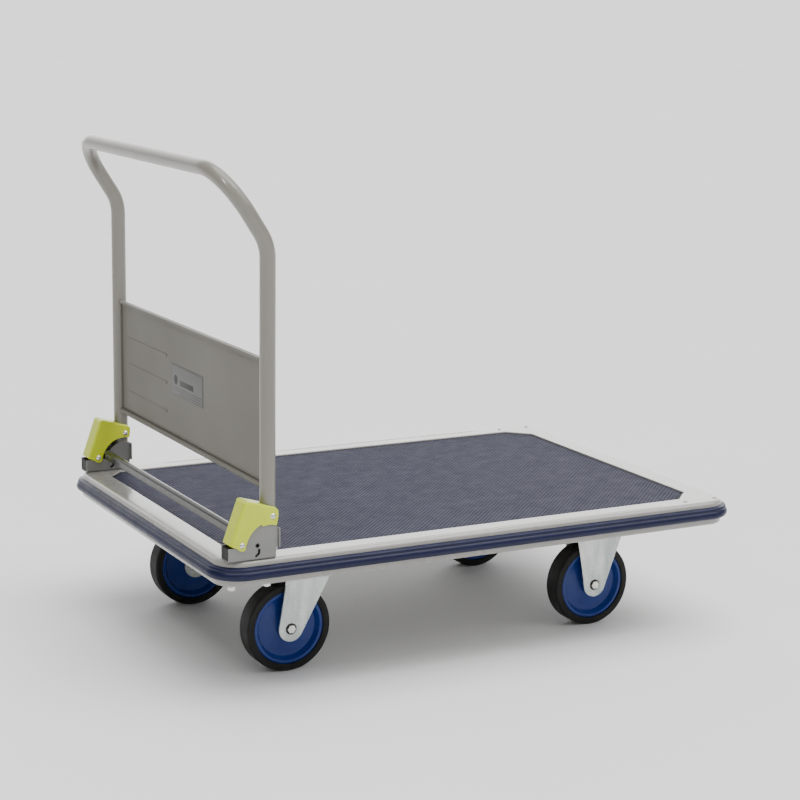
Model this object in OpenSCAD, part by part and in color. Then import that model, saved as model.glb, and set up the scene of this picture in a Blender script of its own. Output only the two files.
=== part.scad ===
// Folding platform cart: pressed deck on four castors, a tubular push handle that
// folds down over the deck, and a foot-pressed release bar across the handle end.
// Origin on the floor under the middle of the deck. +X points away from the handle,
// -Y is the near side, +Z is up. Hinge parts are drawn about the fold axis.

/* [Deck] */
// Half length of the mat recess
recess_half_len = 472; // [450:1:500]
// Half width of the mat recess
recess_half_wid = 321; // [300:1:340]
// Width of the flat rim around the recess
rim_flat = 38; // [36:1:42]
// Radius from the flat rim down into the side wall
shoulder_r = 8; // [6:1:9]
// Depth of the deck from its top to its lower lip
deck_depth = 44.5; // [43:0.5:48]
// Thickness of the pressed deck sheet
sheet = 2; // [1.6:0.2:2.2]
// Thickness of the ribbed mat
mat_thick = 3; // [2:0.5:4]
// Corner chamfer of the mat, front end
chamfer_front = 42; // [30:1:50]
// Corner chamfer of the mat, handle end
chamfer_rear = 28; // [20:1:36]
// Proud width of the bumper strip
bumper_out = 11.8; // [10:0.2:13]

/* [Handle] */
// Outside diameter of the handle tube
tube_d = 27; // [26:0.2:27.4]
// Wall of the handle tube
tube_wall = 2; // [1.8:0.1:2.5]
// Height from the fold axis to the lower bend
bend_rise = 507.5; // [470:0.5:540]
// Backward lean of the top of the handle, in degrees
lean = 32.8; // [20:0.1:40]
// Length of the leaning part, bend to crossbar
slant_len = 143.8; // [130:0.1:160]
// Bend radius between upright and leaning part
bend_r = 80; // [60:1:100]
// Corner radius at the crossbar
corner_r = 85; // [60:1:90]
// Height of the kick panel between the uprights
panel_h = 217; // [205:1:230]
// Thickness of the panel sheet
panel_thick = 1.5; // [1.2:0.1:2]

/* [Hinge] */
// Distance of the fold axis from the rear edge of the recess
pivot_inset = 42; // [40:1:46]
// Thickness of the bracket cheeks
cheek = 2; // [1.6:0.2:2]
// Radius of the rounded bracket cheek about the fold axis
cheek_r = 36.5; // [34:0.5:37]
// Wall of the moulded hinge cover
cover_wall = 2; // [1.6:0.2:2.4]
// Diameter of the fold pin
pin_d = 10; // [8:0.5:10]
// Diameter of the foot bar sleeve
sleeve_d = 13; // [11:0.5:14]

/* [Castors] */
// Height from the floor to the castor mounting face
castor_height = 208; // [206:1:216]
// Wheel radius
wheel_r = 80; // [76:1:81]
// Width of the tyre
tyre_w = 38; // [34:1:40]
// Sideways distance of the wheels from the middle
wheel_y = 219; // [205:1:225]
// Distance of the swivel axis behind the middle
swivel_x = 301; // [295:1:315]
// Offset of the rear axle behind its swivel axis
trail = 36; // [30:1:38]
// Distance of the front axle ahead of the middle
front_axle_x = 297.6; // [285:0.2:310]
// Thickness of the fork plate
fork_thick = 4; // [3.5:0.5:4.5]
// Axle diameter
axle_d = 10; // [8:0.5:10]

/* [Hidden] */
$fn = 48;
edge_out = rim_flat + shoulder_r;
floor_top = castor_height + 38;
mat_top = floor_top + mat_thick;
rim_top = mat_top + 2.5;
skirt_low = rim_top - deck_depth;
lip_in = 22;
lip_r = 4;
bumper_z = rim_top - 21.5;
rail_w = 40;
bolt_dx = 42;
bolt_dy = 38;
plate_half_x = 61;
plate_half_y = 50;
rigid_plate_x = front_axle_x + 15.4;
up_x = pivot_inset - recess_half_len;
up_y = recess_half_wid + 29;
pivot_z = rim_top + 18.5;
tube_r = tube_d / 2;
pin_r = pin_d / 2;
gap_in = 14;
gap_out = gap_in + cheek;
cover_in = 16.5;
cover_out = cover_in + cover_wall;
foot_rise = 14;
bend_start = round(100 * (bend_rise - bend_r * tan(lean / 2))) / 100;
slant_run = round(100 * (slant_len - corner_r - bend_r * tan(lean / 2))) / 100;
panel_low = 100.5;
panel_half = up_y - tube_r - 3.5;
latch_at = [-25, 6.4];
bar_at = [-37, 18.5];
upper_screw = [2.7, 54.2];
lower_screw = [-53.2, 9.5];
cover_low = [-74.4, 10.6];
cover_top = [-48, 85.4];
cover_front = [7, 69.3];
rear_tilt = atan2(cover_top[0] - cover_low[0], cover_top[1] - cover_low[1]);
top_tilt = atan2(cover_top[1] - cover_front[1], cover_front[0] - cover_top[0]);
axle_r = axle_d / 2;
fork_in = 23;
fork_out = fork_in + fork_thick;
tip_r = 23;
core_r = wheel_r * 0.835;
run_fit = 0.05;
nick = 0.04;
bracket_bolt_x = [-65, -1];
paint = [0.80, 0.80, 0.78];
handle_paint = [0.62, 0.61, 0.57];
zinc = [0.74, 0.75, 0.76];
steel = [0.62, 0.62, 0.63];
lime = [0.74, 0.76, 0.38];
bumper_blue = [0.16, 0.18, 0.34];
wheel_blue = [0.15, 0.26, 0.50];
rubber_black = [0.12, 0.12, 0.11];
mat_grey = [0.36, 0.37, 0.42];

// ---- shared shapes ----

// Where a line from point p touches a circle about c; side is 1 or -1.
function tangent_point(p, c, r, side) =
  let (d = norm(p - c), a = atan2(p[1] - c[1], p[0] - c[0]) + side * acos(r / d))
  c + r * [cos(a), sin(a)];

// Outline of the mat recess grown outward by g.
function recess_outline(g) =
  let (l = recess_half_len + g, w = recess_half_wid + g, k = g * (2 - sqrt(2)))
  let (f = chamfer_front + k, r = chamfer_rear + k)
  [[l - f, w], [r - l, w], [-l, w - r], [-l, r - w], [r - l, -w], [l - f, -w], [l, f - w], [l, w - f]];

// A shape drawn in X and Z, given depth from y0 to y1.
module slab(y0, y1) {
  translate([0, y1, 0]) rotate([90, 0, 0]) linear_extrude(y1 - y0) children();
}

// A shape turned about an axis along Y.
module spun_y() {
  rotate([90, 0, 0]) rotate_extrude() children();
}

// A round-ended bar between two points.
module capsule(p, q, r) {
  translate(p) circle(r);
  translate(q) circle(r);
  translate(p) rotate(atan2(q[1] - p[1], q[0] - p[0])) translate([0, nick - r])
    square([norm(q - p), 2 * (r - nick)]);
}

// Rounding for the outer corner between +X and +Y.
module quarter_disc(r) {
  intersection() {
    circle(r);
    square(r);
  }
}

// One quarter of a bent sheet, seen on edge.
module quarter_ring(r, t) {
  intersection() {
    difference() {
      circle(r);
      circle(r - t);
    }
    square(r + 1);
  }
}

// Low rounded head of radius r and height h, standing on z = 0.
module dome(r, h) {
  ball_r = (r * r + h * h) / (2 * h);
  rotate_extrude() intersection() {
    translate([0, h - ball_r]) circle(ball_r);
    square([r, h]);
  }
}

module hexagon(across, h) {
  cylinder(d = across / cos(30), h = h, $fn = 6);
}

// Runs a section (distance out from the recess edge, height) right round the deck.
module around_edge() {
  for (turn = [0, 180]) rotate([0, 0, turn]) {
    translate([recess_half_len, -recess_half_wid, 0]) rotate([90, 0, -90])
      linear_extrude(2 * recess_half_len) children();
    translate([recess_half_len, recess_half_wid, 0]) rotate([90, 0, 0])
      linear_extrude(2 * recess_half_wid) children();
    translate([recess_half_len, recess_half_wid, 0]) rotate_extrude(angle = 90) children();
    translate([-recess_half_len, recess_half_wid, 0]) rotate([0, 0, 90])
      rotate_extrude(angle = 90) children();
  }
}

// Places a near-side hinge part about the fold axis.
module at_hinge() {
  translate([up_x, -up_y, pivot_z]) children();
}

module far() {
  mirror([0, 1, 0]) children();
}

module both_sides() {
  children();
  far() children();
}

// ---- deck ----

module pan_section() {
  translate([0, rim_top - sheet]) square([rim_flat, sheet]);
  translate([rim_flat, rim_top - shoulder_r]) quarter_ring(shoulder_r, sheet);
  translate([edge_out - sheet, skirt_low + lip_r]) square([sheet, deck_depth - shoulder_r - lip_r]);
  translate([edge_out - lip_r, skirt_low + lip_r]) mirror([0, 1]) quarter_ring(lip_r, sheet);
  translate([lip_in, skirt_low]) square([edge_out - lip_r - lip_in, sheet]);
}

module rivet_places() {
  for (x = [-42, 25], side = [-1, 1])
    translate([recess_half_len + x, side * (recess_half_wid + 22), 0]) children();
}

module bracket_bolt_places() {
  for (x = bracket_bolt_x, side = [-1, 1]) translate([up_x + x, side * up_y, 0]) children();
}

// Low half-round bead pressed up along a side rim.
module rim_bead(length) {
  rotate([90, 0, 90]) linear_extrude(length) intersection() {
    translate([0, -2.7]) circle(4);
    translate([-4, 0]) square(8);
  }
}

// Pressed deck: rim, rounded shoulder, side wall and lip in one sheet, with a sunk floor.
module deck_pan() {
  color(paint) difference() {
    union() {
      around_edge() pan_section();
      translate([0, 0, rim_top - sheet]) linear_extrude(sheet) difference() {
        square([2 * recess_half_len, 2 * recess_half_wid], center = true);
        polygon(recess_outline(0));
      }
      translate([0, 0, floor_top - sheet]) linear_extrude(rim_top - floor_top + sheet) difference() {
        polygon(recess_outline(sheet));
        polygon(recess_outline(0));
      }
      translate([0, 0, floor_top - sheet]) linear_extrude(sheet) polygon(recess_outline(sheet));
      for (side = [-1, 1]) translate([125 - recess_half_len, side * (recess_half_wid + 32), rim_top - 0.5])
        rim_bead(2 * recess_half_len - 217);
    }
    rivet_places() translate([0, 0, floor_top]) cylinder(r = 2.1, h = 10);
    bracket_bolt_places() translate([0, 0, skirt_low - 1]) cylinder(r = 4.2, h = deck_depth + 2);
  }
}

module deck_mat() {
  color(mat_grey) translate([0, 0, floor_top]) linear_extrude(mat_thick) polygon(recess_outline(-0.5));
}

// A full lower roll under a smaller upper ridge, flat against the side wall.
module bumper_section() {
  translate([edge_out, bumper_z]) intersection() {
    union() {
      polygon([[-1, -10.9], [4, -10.9], [6, -6], [6, 7], [4.6, 10.9], [-1, 11.8]]);
      translate([4.2, 6]) circle(5);
      translate([bumper_out - 8.6, -2.6]) circle(8.6);
    }
    translate([0, -20]) square(40);
  }
}

module bumper_strip() {
  color(bumper_blue) around_edge() bumper_section();
}

// Channel open upward under the deck floor, carrying one row of castor bolts.
module cross_rail(x) {
  half = recess_half_wid + lip_in - 0.5;
  high = floor_top - sheet - castor_height;
  translate([x, half, castor_height]) rotate([90, 0, 0]) linear_extrude(2 * half) difference() {
    translate([-rail_w / 2, 0]) square([rail_w, high]);
    translate([-rail_w / 2 + 2.5, 2.5]) square([rail_w - 5, high]);
  }
}

module plate_bolt_holes(r) {
  for (dx = [-bolt_dx, bolt_dx], dy = [-bolt_dy, bolt_dy])
    translate([dx, dy, castor_height - 20]) cylinder(r = r, h = 50);
}

module rail_pair(x) {
  color(paint) difference() {
    for (dx = [-bolt_dx, bolt_dx]) cross_rail(x + dx);
    for (side = [-1, 1]) translate([x, side * wheel_y, 0]) plate_bolt_holes(5.3);
  }
}

module rear_cross_rails() {
  rail_pair(-swivel_x);
}

module front_cross_rails() {
  rail_pair(rigid_plate_x);
}

module centre_stiffener() {
  color(paint) translate([0, recess_half_wid, floor_top - sheet - 22]) rotate([90, 0, 0])
    linear_extrude(2 * recess_half_wid) difference() {
      translate([-20, 0]) square([40, 22]);
      translate([-18, 2]) square([36, 22]);
    }
}

module rim_rivets() {
  color(paint) rivet_places() {
    translate([0, 0, rim_top]) dome(4.5, 2.2);
    translate([0, 0, rim_top - sheet - 1.5]) cylinder(r = 2, h = sheet + 1.7);
    translate([0, 0, rim_top - sheet - 1.5]) cylinder(r = 3.4, h = 1.5);
  }
}

// ---- hinge, fixed parts ----

module bracket_outline() {
  intersection() {
    union() {
      translate([-77, -18.5]) square([92, 24.5]);
      circle(cheek_r);
    }
    union() {
      translate([-80, -20]) square([89, 60]);
      translate([-80, 0.5]) square([95, 60]);
    }
  }
}

// Taller plate of the outer cheek, reaching up under the wall of the hinge cover.
module outer_cheek() {
  intersection() {
    circle(45.2);
    polygon([[-60, 1], [-60, 60], [-14, 60], [-9, 39.6], [8, 38], [14.6, 33], [14.6, 1]]);
  }
}

// Folded channel seen along X: a base and two cheeks with rounded lower edges.
module bracket_section() {
  bend = 3.5;
  difference() {
    union() {
      translate([-gap_out, bend]) square([2 * gap_out, 54]);
      translate([bend - gap_out, 0]) square([2 * gap_out - 2 * bend, 54]);
      for (side = [-1, 1]) translate([side * (gap_out - bend), bend]) circle(bend);
    }
    translate([-gap_in, bend]) square([2 * gap_in, 60]);
    translate([bend - gap_out, cheek]) square([2 * gap_out - 2 * bend, 60]);
    for (side = [-1, 1]) translate([side * (gap_out - bend), bend]) circle(bend - cheek);
  }
}

// Curved slot that the spring leg reaches through.
module crescent() {
  intersection() {
    difference() {
      circle(11);
      circle(6.6);
    }
    polygon([[0, 0], [20, 4], [20, -12], [9, -20]]);
  }
  for (turn = [11, -65.5]) rotate(turn) translate([8.8, 0]) circle(2.3);
}

module hinge_bracket() {
  color(zinc) at_hinge() {
    difference() {
      union() {
        intersection() {
          translate([-77, 0, -18.5]) rotate([90, 0, 90]) linear_extrude(92) bracket_section();
          slab(-20, 20) bracket_outline();
        }
        slab(-gap_out, -gap_in) outer_cheek();
      }
      slab(-20, 20) {
        circle(pin_r);
        translate(latch_at) circle(4);
        translate([-30.5, -3.2]) crescent();
      }
      for (x = bracket_bolt_x) translate([x, 0, -20]) cylinder(r = 4.2, h = 10);
      for (x = bracket_bolt_x) translate([x, 0, -18.5 + cheek - 1.6]) cylinder(r1 = 4.2, r2 = 7.5, h = 1.7);
    }
    for (side = [-1, 1]) translate([15 - cheek, side * 17 - 3, 0.5]) cube([cheek, 6, 32.5]);
  }
}

module stop_buffer() {
  half = gap_in - 0.2;
  color(rubber_black) at_hinge() translate([-76, 0, cheek - 18.5]) rotate([90, 0, 90]) linear_extrude(24)
    polygon([
      [1.7 - half, 0], [half - 1.7, 0], [half, 1.7],
      [half, 22.2 - cheek], [-half, 22.2 - cheek], [-half, 1.7]
    ]);
}

module pivot_pins() {
  color(steel) both_sides() at_hinge() slab(-gap_out, gap_out) circle(pin_r);
}

module latch_pins() {
  color(steel) both_sides() at_hinge() slab(-gap_out, gap_out) translate(latch_at) difference() {
    circle(4);
    circle(2.5);
  }
}

// Wire spring wound on the latch pin, its long leg hooked through the cheek slot.
module latch_spring() {
  wire = 0.75;
  color(steel) at_hinge() translate([latch_at[0], 0, latch_at[1]]) {
    for (i = [0:4]) translate([0, -5 - 1.62 * i, 0]) spun_y() translate([5.1, 0]) circle(wire);
    translate([-0.4, -11.48, -17.4]) cylinder(r = 0.65, h = 12.4);
    translate([-0.4, -11, -16.9]) rotate([90, 0, 0]) cylinder(r = 0.6, h = 6.5);
    translate([-5.1, -5, 0]) cylinder(r = 0.65, h = 10);
  }
}

// Countersunk in the bracket base, clear down through the lip of the deck.
module bracket_bolts() {
  color(zinc) bracket_bolt_places() {
    translate([0, 0, skirt_low - 8]) cylinder(r = 4, h = deck_depth + 8 + cheek - 1.6);
    translate([0, 0, rim_top + cheek - 1.6]) cylinder(r1 = 4, r2 = 7.2, h = 1.6);
  }
}

module bracket_nuts() {
  color(zinc) bracket_bolt_places() translate([0, 0, skirt_low - 6.5]) difference() {
    hexagon(13, 6.5);
    translate([0, 0, -1]) cylinder(r = 4 + run_fit, h = 9);
  }
}

module bracket_spacers() {
  color(steel) bracket_bolt_places() translate([0, 0, skirt_low + sheet]) difference() {
    union() {
      cylinder(r = 5.6, h = deck_depth - 2 * sheet - 4);
      translate([0, 0, deck_depth - 2 * sheet - 4]) cylinder(r1 = 5.6, r2 = 4.5, h = 2.4);
    }
    translate([0, 0, -1]) cylinder(r = 4.2, h = deck_depth);
  }
}

// ---- handle ----

// One side of the handle as a solid bar of radius r, starting `extra` below its foot.
module handle_side(r, extra) {
  at_hinge() {
    translate([0, 0, foot_rise - extra]) cylinder(r = r, h = bend_start - foot_rise + extra);
    translate([-bend_r, 0, bend_start]) {
      rotate([90, 0, 0]) rotate_extrude(angle = lean) translate([bend_r, 0]) circle(r);
      rotate([0, -lean, 0]) translate([bend_r, 0, 0]) {
        translate([0, 0, -1]) cylinder(r = r - nick, h = slant_run + 2);
        translate([0, corner_r, slant_run]) rotate([90, 0, -90]) rotate_extrude(angle = 90)
          translate([corner_r, 0]) circle(r);
        translate([0, corner_r, slant_run + corner_r]) rotate([-90, 0, 0])
          cylinder(r = r, h = up_y - corner_r);
      }
    }
  }
}

module handle_tube() {
  color(handle_paint) difference() {
    both_sides() handle_side(tube_r, 0);
    both_sides() handle_side(tube_r - tube_wall, 1);
    both_sides() at_hinge() slab(-20, 20) translate(upper_screw) circle(2.5);
  }
}

// Kick panel with folded top and side edges, a rolled lower edge, pressed lines and weld tabs.
module handle_panel() {
  face = -panel_thick / 2;
  color(handle_paint) translate([up_x, 0, pivot_z + panel_low]) {
    translate([face, -panel_half, 0]) cube([panel_thick, 2 * panel_half, panel_h - 1]);
    translate([-8, -panel_half, panel_h - 2]) cube([8 - face, 2 * panel_half, 2]);
    translate([-8, -panel_half, panel_h - 5]) cube([1.5, 2 * panel_half, 4]);
    for (side = [-1, 1]) translate([-4, side * (panel_half - 0.75) - 0.75, 4]) cube([4, 1.5, panel_h - 10]);
    translate([-3.75, 0, 0]) slab(-panel_half, panel_half) circle(4.5);
    for (z = [43.5, 97, 148]) translate([face, 200, z]) slab(-100, 100) intersection() {
      translate([3.8, 0]) circle(5);
      translate([-4, -5]) square([4.2, 10]);
    }
    for (z = [4, 104, 206], side = [-1, 1])
      translate([-1.5, side * (panel_half + 1.75) - 1.75, z]) cube([3, 3.5, 8]);
  }
}

// Blank rating plate on the rear face of the panel.
module panel_label() {
  color([0.86, 0.86, 0.84]) translate([up_x - panel_thick / 2 - 0.8, -74, pivot_z + 181])
    cube([0.8, 149, 58]);
}

// Bored block turning on the fold pin, with a plug up inside the tube.
module hinge_knuckle() {
  color(steel) at_hinge() difference() {
    union() {
      slab(1 - gap_in, gap_in - 1) circle(13);
      cylinder(r = tube_r - tube_wall - run_fit, h = 65);
    }
    slab(-20, 20) {
      circle(pin_r + run_fit);
      translate(upper_screw) circle(2.5);
    }
  }
}

// Plate behind the tube that lands on the buffer, and the catch above the latch.
module stop_arm() {
  color(steel) at_hinge() difference() {
    union() {
      slab(-4, 4) difference() {
        union() {
          polygon([[-5, 66], [-36, 68], [-59, 30], [-58.6, 9.5], [-47.8, 9.5], [-20, 20], [-5, 40]]);
          translate(lower_screw) circle(5.5);
        }
        circle(48.5);
        translate(lower_screw) circle(2.5);
      }
      translate([-21, -3, 18]) cube([12, 6, 6]);
    }
    cylinder(r = tube_r, h = 100);
  }
}

// Cross-section of a block with two rounded edges on the side at x = 0.
module rounded_strip(edge) {
  translate([edge, -cover_out]) square([150, 2 * cover_out]);
  translate([0, edge - cover_out]) square([edge, 2 * cover_out - 2 * edge]);
  for (side = [0, 1]) mirror([0, side]) translate([edge, cover_out - edge]) mirror([1, 0]) quarter_disc(edge);
}

module cover_outline() {
  polygon([
    [-51.25, 76.96], [-48.99, 80.86], [-46.6, 82.72], [-43.71, 83.56], [-39.2, 83.13],
    [2.4, 74.1], [11.6, 64.5], [12, 56], [10.4, 45], [8.4, 36],
    [-20, 20], [-40, 5], [-47, 5], [-56.5, 2.3], [-83.3, 14.7]
  ]);
}

module cover_hollow() {
  intersection() {
    translate(cover_low) rotate(-rear_tilt) translate([cover_wall, -60]) square([200, 220]);
    translate(cover_top) rotate(-top_tilt) translate([-60, -200 - cover_wall]) square([260, 200]);
    translate(cover_top) rotate(27.1) translate([-130, -203 - cover_wall]) square([260, 200]);
  }
}

// Moulded guard: two side walls joined by a rear wall and a top notched round the tube.
module hinge_cover() {
  color(lime) at_hinge() difference() {
    union() {
      intersection() {
        slab(-cover_out, cover_out) cover_outline();
        translate([cover_low[0], 0, cover_low[1]]) rotate([0, rear_tilt, 0]) translate([0, 0, -60])
          linear_extrude(220) rounded_strip(4);
        translate([cover_top[0], 0, cover_top[1]]) rotate([0, 90 + top_tilt, 0]) translate([0, 0, -60])
          linear_extrude(220) rounded_strip(3.4);
      }
      slab(-cover_out, cover_out) translate(lower_screw) circle(9.4);
    }
    slab(-cover_in, cover_in) cover_hollow();
    slab(-20, 0) translate([-4.5, -3]) circle(43.4);
    slab(-20, -1) intersection() {
      circle(46.6);
      polygon([[-60, -30], [-60, 60], [-28, 60], [-6, 20], [-6, -30]]);
    }
    slab(0, 20) circle(46.2);
    translate([0, 0, 58]) cylinder(r = tube_r + 0.5, h = 40);
    slab(-20, 20) {
      translate(upper_screw) circle(2.5);
      translate(lower_screw) circle(2.5);
    }
  }
}

module cover_bolts() {
  color(zinc) both_sides() at_hinge() for (spot = [upper_screw, lower_screw])
    translate([spot[0], 0, spot[1]]) {
    rotate([90, 0, 0]) translate([0, 0, -cover_out]) cylinder(r = 2.5, h = 2 * cover_out);
    for (turn = [90, -90]) rotate([turn, 0, 0]) translate([0, 0, cover_out]) dome(5, 2.8);
  }
}

// ---- foot release bar ----

module release_rod() {
  color(steel) translate([up_x + bar_at[0], 0, pivot_z + bar_at[1]])
    slab(-up_y - 3, up_y + 3) circle(3);
}

// Rolled sleeve on the rod with a stiffening lip hanging from its rear side.
module release_sleeve() {
  half = up_y - 28;
  color(zinc) translate([up_x + bar_at[0], 0, pivot_z + bar_at[1]]) slab(-half, half) difference() {
    union() {
      circle(sleeve_d / 2);
      translate([-sleeve_d / 2, -9]) square([1.6, 9]);
      translate([1.8 - sleeve_d / 2, -9]) circle(1.8);
    }
    circle(3);
  }
}

module latch_lever() {
  color(steel) at_hinge() slab(-3, 3) difference() {
    union() {
      capsule(latch_at, bar_at, 5);
      translate(latch_at) circle(6.5);
      capsule(latch_at, [-24.5, 29.5], 2.8);
      polygon([[-24.5, 28], [-17.5, 28], [-17.5, 31.5], [-24.5, 32.3]]);
    }
    translate(latch_at) circle(4 + run_fit);
    translate(bar_at) circle(3);
  }
}

// ---- castors ----

module castor_plate() {
  difference() {
    translate([-plate_half_x, -plate_half_y, castor_height - 4])
      cube([2 * plate_half_x, 2 * plate_half_y, 4]);
    plate_bolt_holes(5.3);
  }
}

module ball_groove(r) {
  rotate_extrude() translate([24, castor_height - 14]) circle(r);
}

// Fixed half of the swivel head: mounting plate and upper ball race.
module swivel_plate() {
  color(zinc) translate([-swivel_x, -wheel_y, 0]) difference() {
    union() {
      castor_plate();
      translate([0, 0, castor_height - 12]) cylinder(r = 31, h = 9);
    }
    ball_groove(4);
    cylinder(r = 6, h = castor_height + 1);
  }
}

module swivel_balls() {
  color(steel) both_sides() translate([-swivel_x, -wheel_y, castor_height - 14])
    for (i = [0:13]) rotate([0, 0, i * 360 / 14]) translate([24, 0, 0]) sphere(4);
}

module king_bolts() {
  color(zinc) both_sides() translate([-swivel_x, -wheel_y, 0]) {
    translate([0, 0, castor_height - 32]) cylinder(r = 6, h = 33);
    translate([0, 0, castor_height]) cylinder(r1 = 10, r2 = 8.5, h = 5);
    translate([0, 0, castor_height - 32]) hexagon(19, 7.7);
  }
}

// Recessed seats for the axle heads on both outer faces, and the axle hole.
module axle_seats() {
  for (side = [-1, 1]) slab(side * fork_out - 2.2, side * fork_out + 2.2) circle(10.5);
  slab(-40, 40) circle(axle_r);
}

// Folded fork seen along X, with rounded upper edges.
module fork_section() {
  bend = 6;
  top = castor_height - 20;
  difference() {
    union() {
      translate([-fork_out, 40]) square([2 * fork_out, top - bend - 40]);
      translate([bend - fork_out, top - bend]) square([2 * fork_out - 2 * bend, bend]);
      for (side = [0, 1]) mirror([side, 0]) translate([fork_out - bend, top - bend]) quarter_disc(bend);
    }
    translate([-fork_in, 0]) square([2 * fork_in, top - fork_thick]);
  }
}

module swivel_fork_side() {
  top = castor_height - 20;
  hub = [-trail, wheel_r];
  polygon([
    [-43.5, top], [43, top], [43, top - 12], tangent_point([43, top - 12], hub, tip_r - nick, -1),
    tangent_point([-43.5, top - 12], hub, tip_r - nick, 1), [-43.5, top - 12]
  ]);
  translate(hub) circle(tip_r);
}

// Turning half of the swivel castor: crown, lower ball race and two legs.
module swivel_fork() {
  color(zinc) translate([-swivel_x, -wheel_y, 0]) difference() {
    union() {
      intersection() {
        translate([-70, 0, 0]) rotate([90, 0, 90]) linear_extrude(140) fork_section();
        slab(-40, 40) swivel_fork_side();
      }
      translate([0, 0, castor_height - 20]) cylinder(r = 30, h = 4);
    }
    ball_groove(4.3);
    translate([0, 0, castor_height - 40]) cylinder(r = 6 + run_fit, h = 30);
    translate([-trail, 0, wheel_r]) axle_seats();
  }
}

module rigid_fork_side() {
  top = castor_height - 4;
  hub = [0, wheel_r];
  polygon([
    [-43.8, top], [70, top],
    tangent_point([70, top], hub, tip_r - nick, -1), tangent_point([-43.8, top], hub, tip_r - nick, 1)
  ]);
  translate(hub) circle(tip_r);
}

// Fixed castor fork: plate, web and two legs whose rear edges fold slightly inward.
module rigid_fork() {
  fold = -27;
  color(zinc) translate([front_axle_x, -wheel_y, 0]) difference() {
    union() {
      translate([rigid_plate_x - front_axle_x, 0, 0]) castor_plate();
      for (side = [-1, 1]) {
        slab(min(side * fork_in, side * fork_out), max(side * fork_in, side * fork_out)) intersection() {
          rigid_fork_side();
          translate([fold, 0]) square([140, castor_height]);
        }
        translate([fold, side * fork_out, 0]) rotate([0, 0, side * 20]) translate([-fold, 0, 0])
          slab(min(0, -side * fork_thick), max(0, -side * fork_thick)) intersection() {
            rigid_fork_side();
            translate([fold - 40, 100]) square([40, castor_height - 100]);
          }
      }
      translate([fold, -fork_in - 1, castor_height - 8]) cube([97, 2 * fork_in + 2, 5]);
    }
    translate([0, 0, wheel_r]) axle_seats();
    translate([rigid_plate_x - front_axle_x, 0, 0]) plate_bolt_holes(5.3);
  }
}

// Through bolt with a hexagon at each end, lying along Y.
module axle_bolt() {
  seat = fork_out - 2.2;
  slab(-seat - 1, seat + 1) circle(axle_r);
  for (turn = [90, -90]) rotate([turn, 0, 0]) translate([0, 0, seat]) hexagon(14, 5.5);
}

module front_axle_bolts() {
  color(zinc) both_sides() translate([front_axle_x, -wheel_y, wheel_r]) axle_bolt();
}

module rear_axle() {
  color(zinc) translate([-swivel_x - trail, -wheel_y, wheel_r]) axle_bolt();
}

module castor_bolt_places() {
  for (x = [-swivel_x, rigid_plate_x], side = [-1, 1], dx = [-bolt_dx, bolt_dx], dy = [-bolt_dy, bolt_dy])
    translate([x + dx, side * wheel_y + dy, castor_height]) children();
}

module castor_bolts() {
  color(zinc) castor_bolt_places() {
    translate([0, 0, -5]) cylinder(r = 5, h = 20);
    translate([0, 0, -10.4]) hexagon(16, 6.4);
  }
}

module castor_nuts() {
  color(zinc) castor_bolt_places() translate([0, 0, 2.5]) difference() {
    hexagon(16, 8);
    translate([0, 0, -1]) cylinder(r = 5 + run_fit, h = 10);
  }
}

// ---- wheels ----

module at_wheel(x) {
  translate([x, -wheel_y, wheel_r]) children();
}

module tyre() {
  half = tyre_w / 2;
  round = 4;
  color(rubber_black) spun_y() {
    translate([core_r, -half]) square([wheel_r - core_r - round, tyre_w]);
    translate([core_r, round - half]) square([wheel_r - core_r, tyre_w - 2 * round]);
    for (side = [-1, 1]) translate([wheel_r - round, side * (half - round)]) circle(round);
  }
}

// Dished pressed wheel: raised outer lip, sloping web and a long hub.
module wheel_core() {
  lip = tyre_w / 2 - 1.5;
  color(wheel_blue) spun_y() {
    polygon([
      [13, -20.5], [20, -20.5], [21, -10], [core_r - 12, -7], [core_r - 6, -lip], [core_r, -lip],
      [core_r, lip], [core_r - 6, lip], [core_r - 12, 7], [21, 10], [20, 20.5], [13, 20.5]
    ]);
  }
}

module wheel_bearing() {
  color(steel) spun_y() {
    translate([axle_r + run_fit, -22.6]) square([13 - axle_r - run_fit, 45.2]);
  }
}

deck_pan();
deck_mat();
bumper_strip();
rear_cross_rails();
front_cross_rails();
centre_stiffener();
rim_rivets();
hinge_bracket();  // hinge_bracket_near
far() hinge_bracket();  // hinge_bracket_far
stop_buffer();  // stop_buffer_near
far() stop_buffer();  // stop_buffer_far
pivot_pins();
latch_pins();
latch_spring();  // latch_spring_near
far() latch_spring();  // latch_spring_far
bracket_bolts();
bracket_nuts();
bracket_spacers();
swivel_plate();  // swivel_plate_near
far() swivel_plate();  // swivel_plate_far
swivel_balls();
king_bolts();
rigid_fork();  // rigid_fork_near
far() rigid_fork();  // rigid_fork_far
front_axle_bolts();
castor_bolts();
castor_nuts();
handle_tube();
handle_panel();
panel_label();
hinge_knuckle();  // hinge_knuckle_near
far() hinge_knuckle();  // hinge_knuckle_far
stop_arm();  // stop_arm_near
far() stop_arm();  // stop_arm_far
hinge_cover();  // hinge_cover_near
far() hinge_cover();  // hinge_cover_far
cover_bolts();
release_rod();
release_sleeve();
latch_lever();  // latch_lever_near
far() latch_lever();  // latch_lever_far
swivel_fork();  // swivel_fork_near
far() swivel_fork();  // swivel_fork_far
rear_axle();  // rear_axle_near
far() rear_axle();  // rear_axle_far
at_wheel(-swivel_x - trail) tyre();  // tyre_rear_near
at_wheel(-swivel_x - trail) wheel_core();  // wheel_core_rear_near
at_wheel(-swivel_x - trail) wheel_bearing();  // wheel_bearing_rear_near
far() at_wheel(-swivel_x - trail) tyre();  // tyre_rear_far
far() at_wheel(-swivel_x - trail) wheel_core();  // wheel_core_rear_far
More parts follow.
